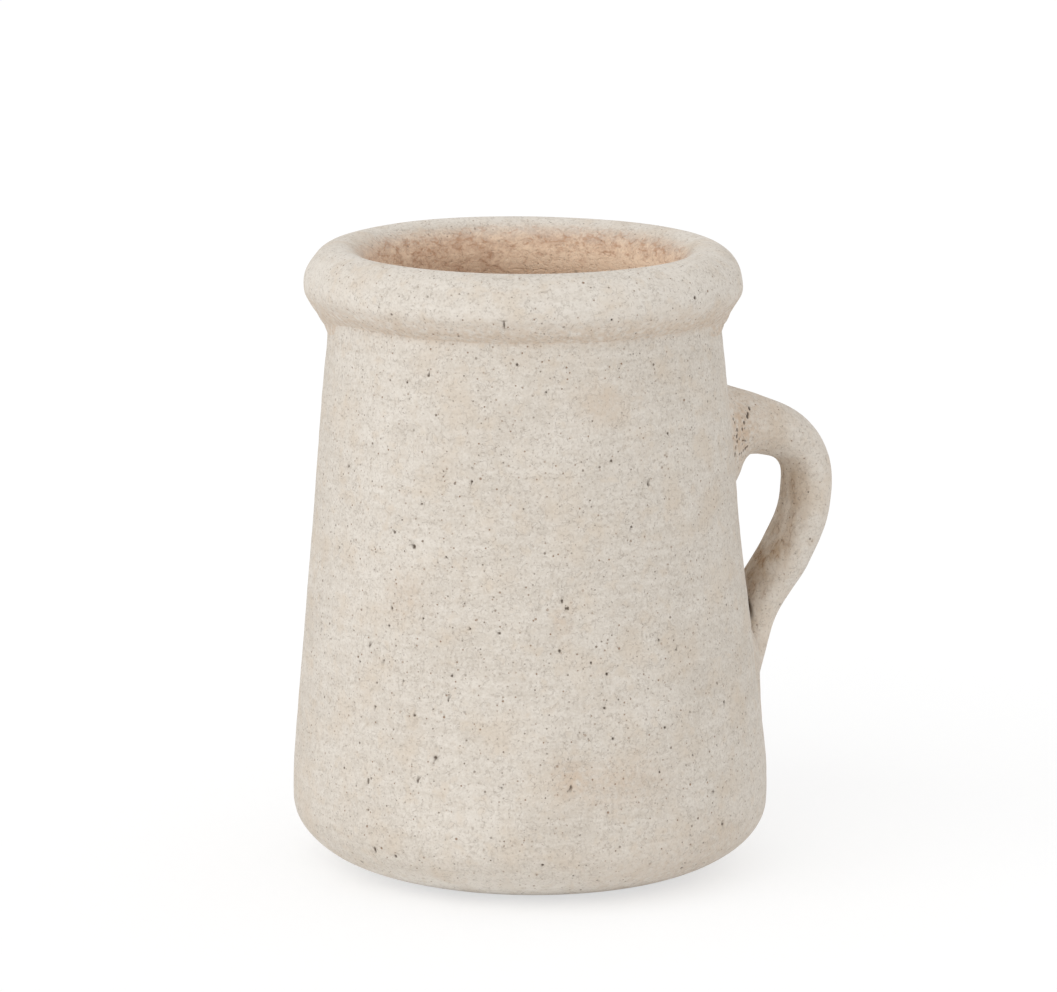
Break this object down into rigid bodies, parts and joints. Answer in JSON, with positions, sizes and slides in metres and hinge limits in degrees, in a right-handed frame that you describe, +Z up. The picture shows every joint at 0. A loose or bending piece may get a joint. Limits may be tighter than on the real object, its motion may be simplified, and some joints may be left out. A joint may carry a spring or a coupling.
{
  "type": "jug",
  "caption": "Hand-made terracotta jug with a thick rolled rim, a tapered wall, a rounded heel and one pulled strap handle, whitewashed outside and bare clay inside.",
  "frame": {"origin": "centre of the flat face that the jug stands on", "axes": "+Z up, out of the mouth; +X from the jug's axis towards the handle; the jug leans one degree towards -X"},
  "size_m": [0.1875, 0.16, 0.21],
  "materials": {
    "whitewashed_clay": "matt",
    "bare_heel": "matt",
    "joint_clay": "matt"
  },
  "bodies": {
    "root": {"base_floor": "bare_heel", "body_wall": "whitewashed_clay", "rolled_rim": "whitewashed_clay", "handle": "whitewashed_clay", "upper_joint_clay": "joint_clay", "lower_joint_clay": "joint_clay"}
  },
  "joints": []
}
